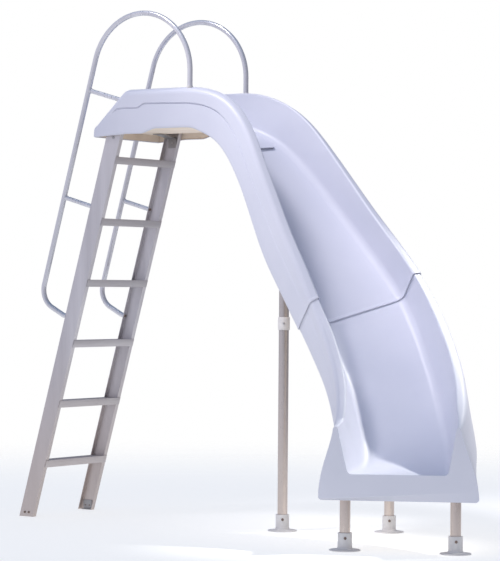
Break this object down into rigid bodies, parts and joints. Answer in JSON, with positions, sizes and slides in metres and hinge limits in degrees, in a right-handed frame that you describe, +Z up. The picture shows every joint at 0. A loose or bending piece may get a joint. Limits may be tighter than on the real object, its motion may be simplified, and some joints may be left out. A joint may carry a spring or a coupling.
{
  "type": "pool slide",
  "caption": "Curved pool slide: moulded two-piece chute with rolled rims and a flared exit, on a ladder with hooped handrails, a post and short legs.",
  "frame": {"origin": "on the floor, under the middle of the bounding box", "axes": "+X is the rider's heading off the platform (the longest side), +Y the rider's left at the top (the shortest side), +Z up"},
  "size_m": [2.752, 1.0234, 2.5266],
  "materials": {
    "moulded_skin": "satin",
    "ladder_aluminium": "mill",
    "tube_metal": "satin",
    "pale_plastic": "matte",
    "bright_steel": "satin",
    "dark_steel": "dull",
    "dark_rubber": "matte"
  },
  "bodies": {
    "slide": {"brace_bolt_left": "dark_steel", "brace_bolt_right": "dark_steel", "chute_lower": "moulded_skin", "chute_upper": "moulded_skin", "foot_bolt_back_left": "dark_steel", "foot_bolt_back_right": "dark_steel", "foot_bolt_front_left": "dark_steel", "foot_bolt_front_right": "dark_steel", "front_leg_left": "tube_metal", "front_leg_left_bracket": "ladder_aluminium", "front_leg_left_set_screw": "dark_steel", "front_leg_left_socket": "pale_plastic", "front_leg_right": "tube_metal", "front_leg_right_bracket": "ladder_aluminium", "front_leg_right_set_screw": "dark_steel", "front_leg_right_socket": "pale_plastic", "handrail_brace_lower_left": "tube_metal", "handrail_brace_lower_right": "tube_metal", "handrail_brace_upper_left": "tube_metal", "handrail_brace_upper_right": "tube_metal", "handrail_grommet_left": "pale_plastic", "handrail_grommet_right": "pale_plastic", "handrail_left": "tube_metal", "handrail_right": "tube_metal", "hook_bolt_left": "dark_steel", "hook_bolt_right": "dark_steel", "ladder_foot_bracket_left": "ladder_aluminium", "ladder_foot_bracket_right": "ladder_aluminium", "ladder_rail_left": "ladder_aluminium", "ladder_rail_right": "ladder_aluminium", "platform_bolt_left": "bright_steel", "platform_bolt_right": "bright_steel", "platform_bracket_left": "ladder_aluminium", "platform_bracket_right": "ladder_aluminium", "post_clamp": "pale_plastic", "post_clamp_screw": "bright_steel", "rear_leg": "tube_metal", "rear_leg_bracket": "ladder_aluminium", "rear_leg_set_screw": "dark_steel", "rear_leg_socket": "pale_plastic", "spray_hood": "moulded_skin", "support_post": "tube_metal", "support_post_bracket": "ladder_aluminium", "support_post_set_screw": "dark_steel", "support_post_socket": "pale_plastic", "tread_1": "ladder_aluminium", "tread_2": "ladder_aluminium", "tread_3": "ladder_aluminium", "tread_4": "ladder_aluminium", "tread_5": "ladder_aluminium", "tread_6": "ladder_aluminium", "water_inlet": "pale_plastic"},
    "nut": {"hose_nut": "dark_rubber"}
  },
  "joints": [
    {"name": "hose_nut_turn", "type": "hinge", "parent": "slide", "child": "nut", "pos_m": [-0.21578, 0.20573, 1.84978], "axis": [0.5133, -0.0367, 0.8575], "continuous": true}
  ]
}
